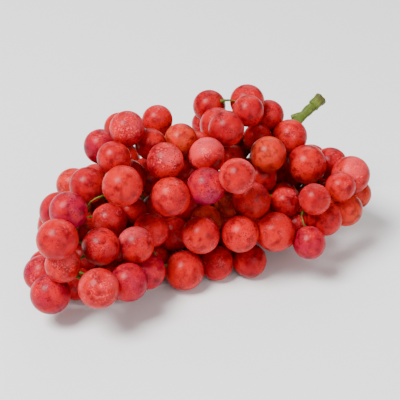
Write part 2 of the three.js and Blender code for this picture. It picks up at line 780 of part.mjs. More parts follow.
function meshOf(name, solid, colour, finish) {
  const { vertProperties, triVerts } = solid.getMesh();
  const geometry = new THREE.BufferGeometry();
  geometry.setAttribute('position', new THREE.BufferAttribute(vertProperties, 3));
  geometry.setIndex(new THREE.BufferAttribute(triVerts, 1));
  geometry.translate(-ORIGIN[0], -ORIGIN[1], 0);
  geometry.computeVertexNormals();
  const mesh = new THREE.Mesh(geometry, new THREE.MeshStandardMaterial({ color: colour, ...finish }));
  mesh.name = name;
  return mesh;
}

function bunch() {
  const group = new THREE.Group();
  const berries = layBerries();
  const solids = berries.map((berry) => berrySolid(berry));
  const sprays = growSprays(berries, holdingPairs(berries, solids));
  sprays.forEach((spray, k) => {
    const name = `berries_${String(k + 1).padStart(2, '0')}`;
    const colour = SPRAY_COLOURS[k % SPRAY_COLOURS.length];
    group.add(meshOf(name, spraySolid(spray, berries, solids), colour, SKIN));
  });
  group.add(meshOf('stem', stemSolid(berries), STEM_COLOUR, BARK));
  return group;
}

export default bunch();
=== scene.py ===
import itertools
import math

import bpy
import numpy as np
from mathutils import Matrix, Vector


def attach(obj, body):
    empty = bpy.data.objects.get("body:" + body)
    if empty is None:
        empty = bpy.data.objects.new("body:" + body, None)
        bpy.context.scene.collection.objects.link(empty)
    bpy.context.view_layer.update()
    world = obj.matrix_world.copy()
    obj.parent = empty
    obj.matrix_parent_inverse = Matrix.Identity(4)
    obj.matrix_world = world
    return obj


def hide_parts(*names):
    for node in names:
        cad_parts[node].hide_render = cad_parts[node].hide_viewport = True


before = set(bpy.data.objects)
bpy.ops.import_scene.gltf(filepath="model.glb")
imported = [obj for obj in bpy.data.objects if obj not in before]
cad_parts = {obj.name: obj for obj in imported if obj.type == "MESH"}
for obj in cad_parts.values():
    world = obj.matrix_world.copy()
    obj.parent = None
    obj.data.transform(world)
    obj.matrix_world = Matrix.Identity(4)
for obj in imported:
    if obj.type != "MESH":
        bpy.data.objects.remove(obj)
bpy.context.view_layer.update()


# The view of the bunch: a camera above the table, turned a little to the bunch's left and looking
# down on it. The directions back, right and up are those of someone who looks through it.
EYE_AWAY = 0.680
EYE_LIFT = math.radians(34)
EYE_TURN = math.radians(-18)
EYE_AIM = np.array([-0.00045, 0.00063, 0.044])
PICTURE_WIDTH = 0.258  # width of the picture at the aim
SENSOR_MM = 36
CLIP_START = 0.01

eye_back = np.array([
    math.sin(EYE_TURN) * math.cos(EYE_LIFT), -math.cos(EYE_TURN) * math.cos(EYE_LIFT),
    math.sin(EYE_LIFT)])
eye_right = np.array([math.cos(EYE_TURN), math.sin(EYE_TURN), 0])
eye_up = np.cross(eye_back, eye_right)
eye_place = EYE_AIM + EYE_AWAY * eye_back

camera = bpy.data.objects.new("view", bpy.data.cameras.new("view"))
camera.location = eye_place
camera.rotation_euler = Vector(eye_back).to_track_quat("Z", "Y").to_euler()
camera.data.sensor_width = SENSOR_MM
camera.data.lens = SENSOR_MM * EYE_AWAY / PICTURE_WIDTH
camera.data.clip_start = CLIP_START
bpy.context.scene.collection.objects.link(camera)
bpy.context.scene.camera = camera


# The green stem: a thick stalk that forks into side stalks and into one thin pedicel for each
# berry, grown as one piece, smooth and ridged while it is fresh, brown where it was cut. Each
# pedicel swells into a warty head where it holds its berry, so the berries are found here first.
BALL_FACET = 1.035  # corner radius of the CAD's faceted berries over the true one
SAME_BALL = 0.0002
WHOLE_FACE = 0.00002  # how far the centres that a whole face's corners give may lie apart
STEM_DOUBLES = 1e-6
STEM_VOXEL = 0.00042
STEM_SMOOTHING = 8
STEM_KEPT = 0.8  # share of the remeshed faces that stay, so that they are under 200,000
STEM_SWELL = 0.00022  # given back after the smoothing
RIDGE_HEIGHT = 0.00012
RIDGE_SIZE = 0.0022
FINE_RIDGE_SIZE = 0.0009
FINE_RIDGE_SHARE = 0.6
CUT_PLACE = np.array([0.1015, 0.0468, 0.0770])
STALK_SWELL = 0.00075  # more swelling of the bare stalk
STALK_REACH = 0.0364  # from the cut to where the bare stalk's swelling ends
STALK_FADE = 0.026
STALK_LUMP_SIZE = 0.0045
STALK_LUMP_SHARE = 0.6
CUT_BROWN = 0.8  # share of brown at the cut
CUT_BROWN_REACH = 0.0048
CUT_BROWN_FADE = 0.0030
POLE_TOUCH = 0.0014  # stem this close to a berry's skin may be what holds it
POLE_SPARE = 0.0003  # and so may stem this much further out than the nearest
POLE_BEHIND = (0.0020, 0.0045)  # how far out from the skin the stem behind is looked for
POLE_IN_LINE = 0.985  # cosine between two directions that count as one
POLE_NEARLY_BEST = 0.9
NEARLY_UPRIGHT = 0.9
HEAD_RADIUS = 0.00165
HEAD_NECK = 0.00075
HEAD_LENGTH = 0.0030
HEAD_SUNK = 0.0007  # how far the head reaches into the berry
HEAD_TAPER = 0.8
HEAD_RINGS = 9
HEAD_SPOKES = 12
WART_SIZE = 0.0012
WART_HEIGHT = 0.22  # over the head's width
HEAD_BROWN = 0.25
HEAD_BROWN_PATCHES = 0.2
HEAD_BROWN_SIZE = 0.0015
STEM_GREEN = (0.070, 0.105, 0.006)
STEM_PALE = (0.130, 0.170, 0.020)
STEM_BROWN = (0.060, 0.030, 0.010)


def ball_faces():
    """Faces of an icosahedron split once: its corners and edge middles, all at distance one."""
    golden = (1 + math.sqrt(5)) / 2
    signs = np.array(list(itertools.product((-1, 1), (-golden, golden))))
    first = np.column_stack([np.zeros(4), signs])
    corners = np.vstack([np.roll(first, turn, axis=1) for turn in range(3)])
    apart = np.linalg.norm(corners[:, None] - corners, axis=2)
    triples = np.array(list(itertools.combinations(range(12), 3)))
    edges = np.stack([apart[triples[:, a], triples[:, b]] for a, b in ((0, 1), (1, 2), (0, 2))])
    a, b, c = corners[triples[np.isclose(edges, 2).all(axis=0)]].transpose(1, 0, 2)
    ab, bc, ca = (a + b) / 2, (b + c) / 2, (c + a) / 2
    small = np.concatenate([np.stack(three, axis=1) for three in (
        (a, ab, ca), (ab, b, bc), (ca, bc, c), (ab, bc, ca))])
    small /= np.linalg.norm(small, axis=2, keepdims=True)
    inward = np.einsum("ij,ij->i", small[:, 0], np.cross(small[:, 1], small[:, 2])) < 0
    small[inward] = small[inward][:, ::-1]
    return small


def face_normals(faces):
    """Normals of triangles, as long as twice their area."""
    return np.cross(faces[:, 1] - faces[:, 0], faces[:, 2] - faces[:, 0])


def mesh_arrays(mesh):
    """Vertex places and corner numbers of the triangles of a mesh."""
    places = np.zeros(len(mesh.vertices) * 3)
    mesh.vertices.foreach_get("co", places)
    mesh.calc_loop_triangles()
    corners = np.zeros(len(mesh.loop_triangles) * 3, int)
    mesh.loop_triangles.foreach_get("vertices", corners)
    return places.reshape(-1, 3), corners.reshape(-1, 3)


def berry_balls(spray):
    """Centres and true radii of a CAD spray's berries, from those of its faces that are whole: with
    corners v and the like face u of the unit ball, radius = |v1 - v0| / |u1 - u0| and
    centre = v - radius . u, the same for all three corners. A ball inside a larger one is that one
    again or comes from a cut face, and is left out."""
    places, corners = mesh_arrays(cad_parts[spray].data)
    faces = places[corners]
    unit = ball_faces()
    unit_normals = face_normals(unit)
    unit_normals /= np.linalg.norm(unit_normals, axis=1, keepdims=True)
    like = unit[(face_normals(faces) @ unit_normals.T).argmax(axis=1)]
    centres, radii = [], []
    for turn in range(3):
        turned = np.roll(faces, turn, axis=1)
        radius = (np.linalg.norm(turned[:, 1] - turned[:, 0], axis=1)
                  / np.linalg.norm(like[:, 1] - like[:, 0], axis=1))
        centre = turned - radius[:, None, None] * like
        whole = np.ptp(centre, axis=1).max(axis=1) < WHOLE_FACE
        centres.append(centre[whole].mean(axis=1))
        radii.append(radius[whole])
    centres, radii = np.concatenate(centres), np.concatenate(radii)
    order = np.argsort(-radii, kind="stable")
    centres, radii = centres[order], radii[order]
    apart = np.linalg.norm(centres[:, None] - centres, axis=2)
    inside = apart < radii - radii[:, None] + SAME_BALL
    first = ~np.tril(inside, -1).any(axis=1)
    return centres[first], radii[first] / BALL_FACET


def fine_stem():
    """A copy of the CAD stem: its doubles merged, remeshed in small voxels, smoothed round, and
    thinned to fewer faces."""
    piece = bpy.data.objects.new("stem_green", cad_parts["stem"].data.copy())
    bpy.context.scene.collection.objects.link(piece)
    steps = (
        ("WELD", {"merge_threshold": STEM_DOUBLES}),
        ("REMESH", {"mode": "VOXEL", "voxel_size": STEM_VOXEL}),
        ("SMOOTH", {"factor": 0.5, "iterations": STEM_SMOOTHING}),
        ("DECIMATE", {"ratio": STEM_KEPT}),
    )
    for kind, values in steps:
        modifier = piece.modifiers.new(kind, kind)
        for name, value in values.items():
            setattr(modifier, name, value)
    shaped = piece.evaluated_get(bpy.context.evaluated_depsgraph_get())
    piece.data = bpy.data.meshes.new_from_object(shaped)
    piece.modifiers.clear()
    return piece


def soft_noise(points, size, seed):
    """Smooth field, mostly from -1 to 1: gain . the mean of sin(wave . point + phase) over five
    waves in seeded directions, each turning by about 2.2 radians over size."""
    count, turning, gain = 5, 2.2, 1.6
    chance = np.random.default_rng(seed)
    waves = chance.normal(size=(count, 3)) * turning / size
    return np.sin(points @ waves.T + chance.uniform(0, 2 * np.pi, count)).mean(axis=1) * gain


def pedicel_poles(places):
    """Direction from each berry to the stem that holds it: of the stem's places close to the skin,
    those with the most stem straight out behind them."""
    poles = []
    for centre, radius in zip(berry_centre, berry_radius):
        away = places - centre
        far = np.linalg.norm(away, axis=1)
        toward = away / far[:, None]
        close = toward[far < max(radius + POLE_TOUCH, far.min() + POLE_SPARE)]
        behind = toward[(far > radius + POLE_BEHIND[0]) & (far < radius + POLE_BEHIND[1])]
        lined = (close @ behind.T > POLE_IN_LINE).sum(axis=1) if len(behind) else np.zeros(len(close))
        best = close[lined >= lined.max() * POLE_NEARLY_BEST].mean(axis=0)
        poles.append(best / np.linalg.norm(best))
    return np.array(poles)


def across_poles(poles):
    """Two directions across each pole, at right angles to it and to each other."""
    upright = np.abs(poles[:, 2:]) >= NEARLY_UPRIGHT
    side = np.cross(poles, np.where(upright, [[1, 0, 0]], [[0, 0, 1]]))
    side /= np.linalg.norm(side, axis=1, keepdims=True)
    return side, np.cross(poles, side)


def ringed_faces(rings, spokes, count):
    """Faces of count closed shapes, each a pole, rings of spokes points and a pole."""
    ring = np.arange(spokes)
    after = np.roll(ring, -1)
    last = 1 + rings * spokes
    start = 1 + spokes * np.arange(rings - 1)[:, None]
    quads = np.stack([start + ring, start + after, start + spokes + after, start + spokes + ring], 2)
    caps = [np.stack([np.zeros_like(ring), 1 + after, 1 + ring], 1),
            np.stack([np.full_like(ring, last), last - spokes + ring, last - spokes + after], 1)]
    shift = (last + 1) * np.arange(count)
    outward = (quads.reshape(-1, 4)[:, ::-1], np.concatenate(caps)[:, ::-1])
    return [(part + shift[:, None, None]).reshape(-1, part.shape[1]) for part in outward]


def mesh_from(name, places, parts):
    """A mesh with the given places and arrays of faces, shaded smooth."""
    mesh = bpy.data.meshes.new(name)
    sizes = np.concatenate([np.full(len(part), part.shape[1]) for part in parts])
    corners = np.concatenate([part.ravel() for part in parts])
    mesh.vertices.add(len(places))
    mesh.vertices.foreach_set("co", places.astype(np.float32).ravel())
    mesh.loops.add(len(corners))
    mesh.loops.foreach_set("vertex_index", corners.astype(np.int32))
    mesh.polygons.add(len(sizes))
    mesh.polygons.foreach_set("loop_start", (np.cumsum(sizes) - sizes).astype(np.int32))
    mesh.update(calc_edges=True)
    mesh.validate()
    mesh.shade_smooth()
    return mesh


def pedicel_heads(poles):
    """Swollen ends on the berries: out from the skin the radius falls from the head's to the neck's
    as half a cosine wave, widened by warts of soft noise, and the inner end is sunk in the berry."""
    share = np.linspace(0, 1, HEAD_RINGS)
    fall = 0.5 + 0.5 * np.cos(np.pi * share ** HEAD_TAPER)
    width = HEAD_NECK + (HEAD_RADIUS - HEAD_NECK) * fall
    height = HEAD_LENGTH * share - HEAD_SUNK
    turn = 2 * np.pi * np.arange(HEAD_SPOKES) / HEAD_SPOKES
    side, other = across_poles(poles)
    ring = side[:, None, None] * np.cos(turn)[:, None] + other[:, None, None] * np.sin(turn)[:, None]
    foot = berry_centre + poles * berry_radius[:, None]
    rings = (foot[:, None, None] + poles[:, None, None] * height[:, None, None]
             + ring * width[:, None, None])
    inner, outer = (foot + poles * level for level in (height[0], height[-1]))
    places = np.concatenate([inner[:, None], rings.reshape(len(poles), -1, 3), outer[:, None]], axis=1)
    out = places - foot[:, None]
    out -= (out * poles[:, None]).sum(axis=2, keepdims=True) * poles[:, None]
    warts = soft_noise(places.reshape(-1, 3), WART_SIZE, seed=21).reshape(places.shape[:2])
    places += out * WART_HEIGHT * warts[..., None]
    return places.reshape(-1, 3), ringed_faces(HEAD_RINGS, HEAD_SPOKES, len(poles))


def swollen(mesh, places, cut_away):
    """Places of the stem moved along its normals by the swelling, two sizes of ridges, and near the
    cut by the bare stalk's own swelling and lumps."""
    normals = np.zeros(len(places) * 3)
    mesh.vertices.foreach_get("normal", normals)
    ridges = soft_noise(places, RIDGE_SIZE, seed=5)
    ridges += FINE_RIDGE_SHARE * soft_noise(places, FINE_RIDGE_SIZE, seed=6)
    bare = np.sqrt(np.clip((STALK_REACH - cut_away) / STALK_FADE, 0, 1))
    lumps = 1 + STALK_LUMP_SHARE * soft_noise(places, STALK_LUMP_SIZE, seed=12)
    height = STEM_SWELL + RIDGE_HEIGHT * ridges + STALK_SWELL * bare * lumps
    return places + normals.reshape(-1, 3) * height[:, None]


def point_values(mesh, name, kind, values):
    """A named attribute with one value for each vertex."""
    layer = mesh.attributes.new(name, kind, "POINT")
    layer.data.foreach_set("color" if kind == "FLOAT_COLOR" else "value", values.ravel())


def set_inputs(node, **values):
    """Values of a node's inputs, each under the socket's name with _ for a space."""
    for name, value in values.items():
        node.inputs[name.replace("_", " ")].default_value = value


def new_material(name, **values):
    """A material with a Principled shader, its constant values set on the shader's own sockets."""
    material = bpy.data.materials.new(name)
    material.use_nodes = True
    set_inputs(material.node_tree.nodes["Principled BSDF"], **values)
    return material, material.node_tree.nodes, material.node_tree.links


def surface_group(name, numbers, output, output_kind):
    """A node group with a noise on its input Place, whose inputs Scale and Detail are the noise's,
    more inputs for the given numbers, and one output."""
    group = bpy.data.node_groups.new(name, "ShaderNodeTree")
    group.interface.new_socket("Place", in_out="INPUT", socket_type="NodeSocketVector")
    for number in ("Scale", "Detail", *numbers):
        group.interface.new_socket(number, in_out="INPUT", socket_type="NodeSocketFloat")
    group.interface.new_socket(output, in_out="OUTPUT", socket_type=output_kind)
    given = group.nodes.new("NodeGroupInput").outputs
    result = group.nodes.new("NodeGroupOutput").inputs[0]
    noise = group.nodes.new("ShaderNodeTexNoise")
    for source, target in (("Place", "Vector"), ("Scale", "Scale"), ("Detail", "Detail")):
        group.links.new(given[source], noise.inputs[target])
    return group, given, noise.outputs[0], result


def patches_group():
    """Patches: noise spread smoothly so that Low becomes zero and High becomes one."""
    group, given, noise, result = surface_group("patches", ("Low", "High"), "Mask", "NodeSocketFloat")
    spread = group.nodes.new("ShaderNodeMapRange")
    spread.interpolation_type = "SMOOTHSTEP"
    group.links.new(noise, spread.inputs["Value"])
    group.links.new(given["Low"], spread.inputs["From Min"])
    group.links.new(given["High"], spread.inputs["From Max"])
    group.links.new(spread.outputs["Result"], result)
    return group


def grain_group():
    """Fine grain: noise as the height of a bump."""
    group, given, noise, result = surface_group(
        "fine_grain", ("Strength", "Distance"), "Normal", "NodeSocketVector")
    bump = group.nodes.new("ShaderNodeBump")
    group.links.new(noise, bump.inputs["Height"])
    group.links.new(given["Strength"], bump.inputs["Strength"])
    group.links.new(given["Distance"], bump.inputs["Distance"])
    group.links.new(bump.outputs["Normal"], result)
    return group


def placed(nodes, links, group, place, **values):
    """The output of a node group that reads the given coordinates with its own values."""
    node = nodes.new("ShaderNodeGroup")
    node.node_tree = group
    links.new(place, node.inputs["Place"])
    set_inputs(node, **values)
    return node.outputs[0]


def set_or_link(links, socket, value):
    """Links the input to value if that is a socket, or else gives it this constant."""
    if isinstance(value, bpy.types.NodeSocket):
        links.new(value, socket)
    else:
        socket.default_value = value


def mix_colours(nodes, links, amount, first, second):
    """first where amount is zero, second where it is one; first is a socket or a colour."""
    mix = nodes.new("ShaderNodeMix")
    mix.data_type = "RGBA"
    links.new(amount, mix.inputs["Factor"])
    set_or_link(links, mix.inputs[6], first)
    set_or_link(links, mix.inputs[7], (*second, 1))
    return mix.outputs[2]


def maths(nodes, links, operation, *terms):
    """One operation on two or three numbers or sockets, kept from zero to one."""
    node = nodes.new("ShaderNodeMath")
    node.operation = operation
    node.use_clamp = True
    for socket, term in zip(node.inputs, terms):
        set_or_link(links, socket, term)
    return node.outputs[0]


def attribute(nodes, name, output="Fac"):
    """The named attribute of the surface's points, as a number or as a colour."""
    node = nodes.new("ShaderNodeAttribute")
    node.attribute_name = name
    return node.outputs[output]


def stem_material():
    """Olive green with paler streaks, small brown lenticels, and brown at the cut and the heads."""
    material, nodes, links = new_material(
        "green_stem", Roughness=0.55, Specular_IOR_Level=0.25, Subsurface_Weight=0.08,
        Subsurface_Scale=0.001)
    place = nodes.new("ShaderNodeTexCoord").outputs["Object"]
    streaks = placed(nodes, links, patches, place, Scale=260, Detail=4, Low=0.42, High=0.66)
    lenticels = placed(nodes, links, patches, place, Scale=900, Detail=2, Low=0.63, High=0.72)
    colour = mix_colours(nodes, links, streaks, (*STEM_GREEN, 1), STEM_PALE)
    colour = mix_colours(nodes, links, lenticels, colour, STEM_BROWN)
    colour = mix_colours(nodes, links, attribute(nodes, "brown"), colour, STEM_BROWN)
    shader = nodes["Principled BSDF"]
    links.new(colour, shader.inputs["Base Color"])
    links.new(
        placed(nodes, links, fine_grain, place, Scale=1500, Detail=4, Strength=0.5, Distance=0.0002),
        shader.inputs["Normal"])
    return material


sprays = sorted(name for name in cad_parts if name.startswith("berries"))
found = [berry_balls(spray) for spray in sprays]
berry_spray = np.repeat(np.arange(len(sprays)), [len(radii) for _, radii in found])
berry_centre = np.concatenate([centres for centres, _ in found])
berry_radius = np.concatenate([radii for _, radii in found])
along = np.argsort(berry_centre[:, 0])
berry_spray, berry_centre, berry_radius = berry_spray[along], berry_centre[along], berry_radius[along]

patches = patches_group()
fine_grain = grain_group()
stem = fine_stem()
stem_places, stem_corners = mesh_arrays(stem.data)
berry_pole = pedicel_poles(stem_places)
cut_away = np.linalg.norm(stem_places - CUT_PLACE, axis=1)
stem_brown = CUT_BROWN * np.clip((CUT_BROWN_REACH - cut_away) / CUT_BROWN_FADE, 0, 1)
stem_places = swollen(stem.data, stem_places, cut_away)
head_places, head_faces = pedicel_heads(berry_pole)
head_brown = HEAD_BROWN + HEAD_BROWN_PATCHES * soft_noise(head_places, HEAD_BROWN_SIZE, seed=9)
stem.data = mesh_from(
    "stem_green", np.concatenate([stem_places, head_places]),
    [stem_corners, *(part + len(stem_places) for part in head_faces)])
point_values(stem.data, "brown", "FLOAT", np.concatenate([stem_brown, np.clip(head_brown, 0, 1)]))
stem.data.materials.append(stem_material())
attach(stem, "root")
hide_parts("stem")


# The berries: round table grapes, thin-skinned, crimson to orange red, with a pale waxy bloom
# that is worn off in places and lies mostly on what faces up, where it is also painted light that
# makes the tops paler (on some berries it is instead a painted sheen, a pale rim round the side
# towards the eye), fine dark dots, a shallow dimple at the pedicel and a small scar at the tip.
# They hang crowded in sprays, pressed flat where they meet and where they rest.
BERRY_SEED = 7
BERRY_RINGS = 25
BERRY_SPOKES = 34
RING_CROWDING = 1.2  # above one, the rings lie closer at the stem end
BERRY_LENGTHS = (0.99, 1.035)  # length along the pole over width
DIMPLE_DEPTH = 0.035
DIMPLE_WIDTH = 0.26
SCAR_DEPTH = 0.012
SCAR_WIDTH = 0.10
LUMP_HEIGHT = 0.008
LUMP_SHARES = (1, 0.7, 0.5)
PRESS_NEAR = 0.0006  # berries this far apart or less are looked at for a pressed face
PRESS_ROUND = 0.0002  # width of the rounding at the edge of a pressed face
PRESS_PAST = 0.0007  # how far a berry reaches past the pressed face into its neighbour
RESTING = 1.02  # a berry whose centre is no higher than this many radii rests on the table
CRIMSON = np.array([0.360, 0.0008, 0.0080])
SCARLET = np.array([0.540, 0.0018, 0.0050])
ORANGE = np.array([0.500, 0.0330, 0.0080])
PURPLE = np.array([0.270, 0.0018, 0.0300])
WINE = np.array([0.080, 0.0010, 0.0040])
# Pale wax; the same colour also paints the sheen rims and the paler lit tops.
BLOOM_AND_SHEEN = (0.920, 0.0850, 0.1050)
MOST_WINE = 0.6  # in a crimson berry's main colour
MOST_ORANGE = 0.25  # in its second colour
ORANGE_BLEND = 0.55
PURPLE_BLEND = 0.4
STEM_END_ORANGE = 0.4
STEM_END_POWER = 6
TINT_PATCH_SIZE = 0.010
TINT_MIDDLE = 0.45
TINT_LEAN = 0.45
TINT_PATCHES = 0.35
BLOOM_DRAWN = (0.3, 0.8)
BLOOM_BELOW = 0.05  # share of the bloom at a berry's middle height
# Bloom gained towards the top: real wax, and also painted light, making the tops paler where the light
# falls.
BLOOM_AND_LIGHT_UP = 0.80
BLOOM_PATCH_SIZE = 0.013
BLOOM_PATCHES = 0.5
PALE_BLOOM = 1.0
PALE_BELOW = 0.28
DOTS_DRAWN = (0.3, 1)
SHEEN_RIM_FROM = 0.93  # cosine to the direction of the eye at which the painted sheen rim begins
SHEEN_RIM_SLOPE = 2.5
SHEEN_RIM_EVEN = 0.75
SHEEN_RIM_PATCHES = 0.4
MOTTLE_COVER = 0.7
GLOW_COVER = 0.65
DUST_SHARE = 0.9  # of the wax; the rest lies between the grains of dust
THICK_WAX = (1.5, -1.1)  # slope and start of the even wax against the bloom
WAX_COVER = 0.85
DOTS_COVER = 0.9
BARE_ROUGHNESS = 0.30
WAX_ROUGHNESS = 0.20  # more than the bare skin's

# Where berries of each kind lie, in pixels across and down the picture; the rest are crimson. On a
# sheen-rimmed one the bloom is a painted sheen: bare towards the eye with a pale rim round that
# side, and its third value is the strength of the rim.
PICTURE_SIDE = 400
SPOT_REACH = 9.0  # pixels from a spot within which the berry's centre shows
ORANGE_AT = ((74, 185), (181, 140), (46, 267), (356, 194), (346, 209), (206, 221), (268, 154),
             (229, 203))
PURPLE_AT = ((129, 282), (147, 271), (101, 147), (50, 294), (68, 211), (59, 212), (43, 274),
             (206, 186), (307, 243))
PALE_AT = ((165, 161), (98, 288), (63, 265), (136, 245), (127, 129), (207, 156), (350, 175))
SHEEN_RIM_AT = ((237, 176, 0.95), (201, 235, 1.0), (184, 271, 0.6), (151, 230, 0.8), (122, 186, 0.6),
             (307, 164, 0.6), (315, 199, 0.7))


def berry_skins(draw):
    """Rings from the stem end (angle 0) to the tip (half a turn). The distance from the centre is
    radius . (1 - dimple . e^-(angle / width)^2 - the scar's like term at the tip + low lumps), and
    the pole's share of the place is stretched by the berry's length."""
    count = len(berry_radius)
    angle = np.pi * np.linspace(0, 1, BERRY_RINGS + 2) ** RING_CROWDING
    turn = 2 * np.pi * np.arange(BERRY_SPOKES) / BERRY_SPOKES
    low, around = np.meshgrid(angle[1:-1], turn, indexing="ij")
    low = np.concatenate([[0], low.ravel(), [np.pi]])
    around = np.concatenate([[0], around.ravel(), [0]])
    first, second, third, _ = draw.uniform(0, 2 * np.pi, (4, count, 1))
    lumps = (LUMP_SHARES[0] * np.sin(2 * around + first) * np.sin(low) ** 2
             + LUMP_SHARES[1] * np.sin(3 * low + second) * np.sin(low)
             + LUMP_SHARES[2] * np.sin(3 * around + third) * np.sin(low) ** 3)
    dimple = DIMPLE_DEPTH * np.exp(-(low / DIMPLE_WIDTH) ** 2)
    scar = SCAR_DEPTH * np.exp(-((np.pi - low) / SCAR_WIDTH) ** 2)
    far = berry_radius[:, None] * (1 - dimple - scar + LUMP_HEIGHT * lumps)
    length = draw.uniform(*BERRY_LENGTHS, (count, 1))
    side, other = across_poles(berry_pole)
    local = np.stack([np.sin(low) * np.cos(around) * np.ones_like(far),
                      np.sin(low) * np.sin(around) * np.ones_like(far),
                      np.cos(low) * length], axis=2) / np.sqrt(length[..., None])
    axes = np.stack([side, other, berry_pole], axis=1)
    return berry_centre[:, None] + far[..., None] * (local @ axes)


def lay_back(places, centre, toward, limit):
    """Moves places along toward: height h becomes h - max(h - limit + w, 0)^2 / 4w up to
    limit + w, and the limit beyond."""
    height = (places - centre) @ toward
    width = PRESS_ROUND
    over = np.clip(height - limit + width, 0, 2 * width)
    level = np.where(over < 2 * width, height - over ** 2 / (4 * width), limit)
    places += (level - height)[:, None] * toward


def press(places):
    """Flat faces where berries press on each other or on the table: what stands past the plane
    through the circle where two berries meet, or below the table, is laid back onto it."""
    apart = np.linalg.norm(berry_centre[:, None] - berry_centre, axis=2)
    np.fill_diagonal(apart, np.inf)
    for one, two in np.argwhere(apart < berry_radius[:, None] + berry_radius + PRESS_NEAR):
        between = apart[one, two]
        toward = (berry_centre[two] - berry_centre[one]) / between
        middle = (between ** 2 + berry_radius[one] ** 2 - berry_radius[two] ** 2) / (2 * between)
        lay_back(places[one], berry_centre[one], toward, middle + PRESS_PAST)
    for one in np.flatnonzero(berry_centre[:, 2] < berry_radius * RESTING):
        lay_back(places[one], berry_centre[one], np.array([0, 0, -1.0]), berry_centre[one, 2])


def picture_places(points):
    """Pixels of points: middle + (right . d, -up . d) / (depth of d) . (focal length in pixels)."""
    away = points - eye_place
    scale = EYE_AWAY * PICTURE_SIDE / PICTURE_WIDTH / -(away @ eye_back)
    middle = PICTURE_SIDE / 2
    return np.column_stack([middle + away @ eye_right * scale, middle - away @ eye_up * scale])


def berries_at(spots):
    """The berry nearest to the eye among those whose centres show close to each spot."""
    seen = picture_places(berry_centre)
    depth = np.linalg.norm(berry_centre - eye_place, axis=1)
    off = np.linalg.norm(seen - np.array(spots)[:, None], axis=2)
    return np.where(off < SPOT_REACH, depth, np.inf).argmin(axis=1)


def berry_kinds(draw):
    """For each berry its two colours, its strength of bloom, how much of that is left at its middle
    height, its strength of dots, and the direction in which the second colour lies."""
    count = len(berry_radius)
    main = CRIMSON + (WINE - CRIMSON) * MOST_WINE * draw.uniform(0, 1, (count, 1)) ** 2
    second = SCARLET + (ORANGE - SCARLET) * draw.uniform(0, MOST_ORANGE, (count, 1))
    orange, purple, pale = berries_at(ORANGE_AT), berries_at(PURPLE_AT), berries_at(PALE_AT)
    main[orange] = (1 - ORANGE_BLEND) * SCARLET + ORANGE_BLEND * ORANGE
    second[orange] = ORANGE
    main[purple] = PURPLE_BLEND * PURPLE + (1 - PURPLE_BLEND) * CRIMSON
    second[purple] = PURPLE
    bloom = draw.uniform(*BLOOM_DRAWN, count)
    bloom[pale] = PALE_BLOOM
    below = np.full(count, BLOOM_BELOW)
    below[pale] = PALE_BELOW
    dots = draw.uniform(*DOTS_DRAWN, count)
    side = draw.normal(size=(count, 3))
    side /= np.linalg.norm(side, axis=1, keepdims=True)
    return main, second, bloom, below, dots, side


def skin_values(places, draw):
    """For each point its colour and its shares of bloom and of dots. The two colours meet along
    soft noise, the stem end is more orange, and the bloom lies on what faces up, in soft patches,
    which also paints light on the tops. On a sheen-rimmed berry it is a painted sheen instead: a
    pale rim round the side towards the eye."""
    main, second, bloom, below, dots, side = berry_kinds(draw)
    shape = places.shape[:2]
    flat = places.reshape(-1, 3)
    direction = (places - berry_centre[:, None]) / berry_radius[:, None, None]
    lean = (direction * side[:, None]).sum(axis=2)
    tint_patches = soft_noise(flat, TINT_PATCH_SIZE, seed=31).reshape(shape)
    blend = np.clip(TINT_MIDDLE + TINT_LEAN * lean + TINT_PATCHES * tint_patches, 0, 1)[..., None]
    colour = main[:, None] * (1 - blend) + second[:, None] * blend
    at_stem = np.clip((direction * berry_pole[:, None]).sum(axis=2), 0, 1)[..., None]
    colour += (ORANGE - colour) * STEM_END_ORANGE * at_stem ** STEM_END_POWER
    bloom_patches = soft_noise(flat, BLOOM_PATCH_SIZE, seed=33).reshape(shape)
    # Bloom on what faces up: real wax, and painted light on the tops.
    bloom_and_lit_top = below[:, None] + BLOOM_AND_LIGHT_UP * direction[..., 2] + BLOOM_PATCHES * bloom_patches
    amount = bloom[:, None] * np.clip(bloom_and_lit_top, 0, 1)
    # Painted sheen: on these berries the bloom is replaced by a pale rim round the side towards the
    # eye.
    *spots, strength = np.array(SHEEN_RIM_AT).T
    sheen_rimmed = berries_at(np.transpose(spots))
    outward = eye_place - berry_centre[sheen_rimmed]
    outward /= np.linalg.norm(outward, axis=1, keepdims=True)
    facing = (direction[sheen_rimmed] * outward[:, None]).sum(axis=2)
    rim = strength[:, None] * np.clip((SHEEN_RIM_FROM - facing) * SHEEN_RIM_SLOPE, 0, 1)
    amount[sheen_rimmed] = rim * np.clip(SHEEN_RIM_EVEN + SHEEN_RIM_PATCHES * tint_patches[sheen_rimmed], 0, 1)
    return colour, amount, np.broadcast_to(dots[:, None], shape)


